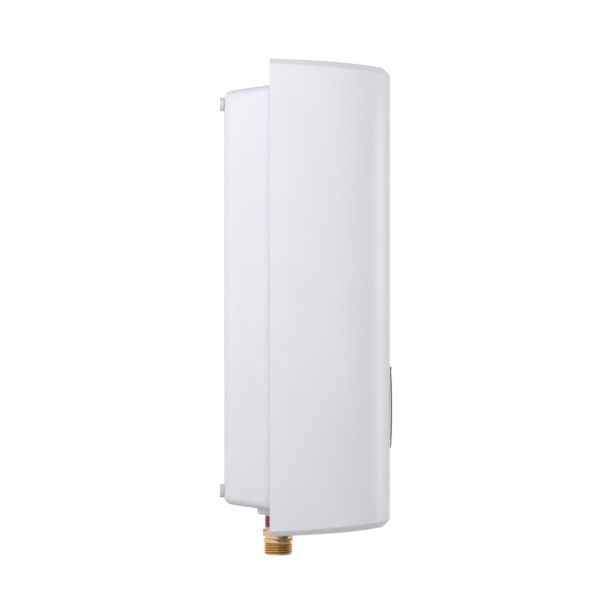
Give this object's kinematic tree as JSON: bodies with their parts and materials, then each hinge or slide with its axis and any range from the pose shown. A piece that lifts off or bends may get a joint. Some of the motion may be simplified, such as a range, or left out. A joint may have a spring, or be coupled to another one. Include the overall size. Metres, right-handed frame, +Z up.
{
  "type": "tankless water heater",
  "caption": "Wall-hung instantaneous water heater: curved lift-off cover with rotary temperature dial, shallow housing, and threaded hot and cold fittings underneath.",
  "frame": {"origin": "on the wall plane, on the heater's centre line, at the mid-height of the front cover", "axes": "+Z up, -Y out of the wall towards the user, +X to the right of someone facing the heater"},
  "size_m": [0.204, 0.1267, 0.3578],
  "materials": {
    "white_plastic": "satin white",
    "pale_plastic": "satin pale grey",
    "grey_plastic": "satin mid grey",
    "dark_gloss": "glossy near black",
    "black_plastic": "satin black",
    "red_plastic": "satin red",
    "blue_plastic": "satin blue",
    "nylon": "satin off-white",
    "heater_plastic": "satin charcoal",
    "brass": "machined",
    "steel": "zinc plated",
    "resistance_wire": "oxidised",
    "aluminium": "plain",
    "rubber": "matte black",
    "board_green": "green circuit board",
    "brown_wire": "satin brown",
    "blue_wire": "satin blue",
    "earth_wire": "satin green and yellow",
    "ribbon_grey": "satin grey",
    "button_red": "satin red"
  },
  "bodies": {
    "housing": {"block_screw_1": "steel", "block_screw_2": "steel", "board_screw_1": "steel", "board_screw_2": "steel", "board_socket": "pale_plastic", "cable_grommet": "rubber", "clamp_screw_1": "steel", "clamp_screw_2": "steel", "cord_clamp": "grey_plastic", "filter_capacitor": "grey_plastic", "flow_limiter": "rubber", "flow_pickup": "black_plastic", "flow_sensor_body": "black_plastic", "heat_sink": "aluminium", "heater_block": "heater_plastic", "heating_coil_1": "resistance_wire", "heating_coil_2": "resistance_wire", "heating_coil_3": "resistance_wire", "inlet_marker_ring": "blue_plastic", "inlet_nipple": "brass", "inlet_strainer": "steel", "inlet_temperature_sensor": "brass", "inlet_washer": "nylon", "lead_earth": "earth_wire", "lead_live": "brown_wire", "lead_neutral": "blue_wire", "lower_header": "grey_plastic", "main_board": "board_green", "outlet_marker_ring": "red_plastic", "outlet_nipple": "brass", "outlet_pipe": "pale_plastic", "outlet_temperature_sensor": "brass", "outlet_washer": "nylon", "rear_housing": "white_plastic", "relay_1": "black_plastic", "relay_2": "black_plastic", "stop_valve_body": "brass", "terminal_block": "nylon", "thermal_cutout": "black_plastic", "triac_1": "black_plastic", "triac_2": "black_plastic", "turbine_axle": "steel", "upper_header": "grey_plastic", "valve_gland_nut": "brass", "wall_spacer_1": "white_plastic", "wall_spacer_2": "white_plastic", "wall_spacer_3": "white_plastic", "wall_spacer_4": "white_plastic"},
    "cover": {"front_cover": "white_plastic", "control_bezel": "pale_plastic", "display_window": "dark_gloss", "display_board": "board_green", "encoder": "black_plastic", "ribbon_cable": "ribbon_grey", "cover_screw": "steel"},
    "dial": {"selector_ring": "dark_gloss"},
    "pinion": {"encoder_pinion": "nylon"},
    "turbine": {"flow_turbine": "nylon"},
    "valve_plug": {"stop_valve_plug": "steel"},
    "reset_button": {"reset_button": "button_red"}
  },
  "joints": [
    {"name": "cover_draw", "type": "slide", "parent": "housing", "child": "cover", "axis": [0, -1, 0], "range_m": [0, 0.12]},
    {"name": "dial_turn", "type": "hinge", "parent": "cover", "child": "dial", "pos_m": [0, -0.12, -0.0827], "axis": [0, 1, 0], "range_deg": [-140, 140]},
    {"name": "pinion_spin", "type": "hinge", "parent": "cover", "child": "pinion", "pos_m": [0, -0.1165, -0.0607], "axis": [0, 1, 0], "range_deg": [-911, 911]},
    {"name": "turbine_spin", "type": "hinge", "parent": "housing", "child": "turbine", "pos_m": [0.05, -0.0417, -0.10265], "axis": [0, 0, 1], "continuous": true},
    {"name": "valve_turn", "type": "hinge", "parent": "housing", "child": "valve_plug", "pos_m": [0.05, -0.0417, -0.127], "axis": [0, 1, 0], "range_deg": [0, 90]},
    {"name": "reset_press", "type": "slide", "parent": "housing", "child": "reset_button", "axis": [0, 1, 0], "range_m": [0, 0.002], "stiffness_N_per_m": 300, "springref_m": -0.001}
  ],
  "couplings": [
    {"joint": "pinion_spin", "follows": "dial_turn", "ratio": 6.5}
  ]
}
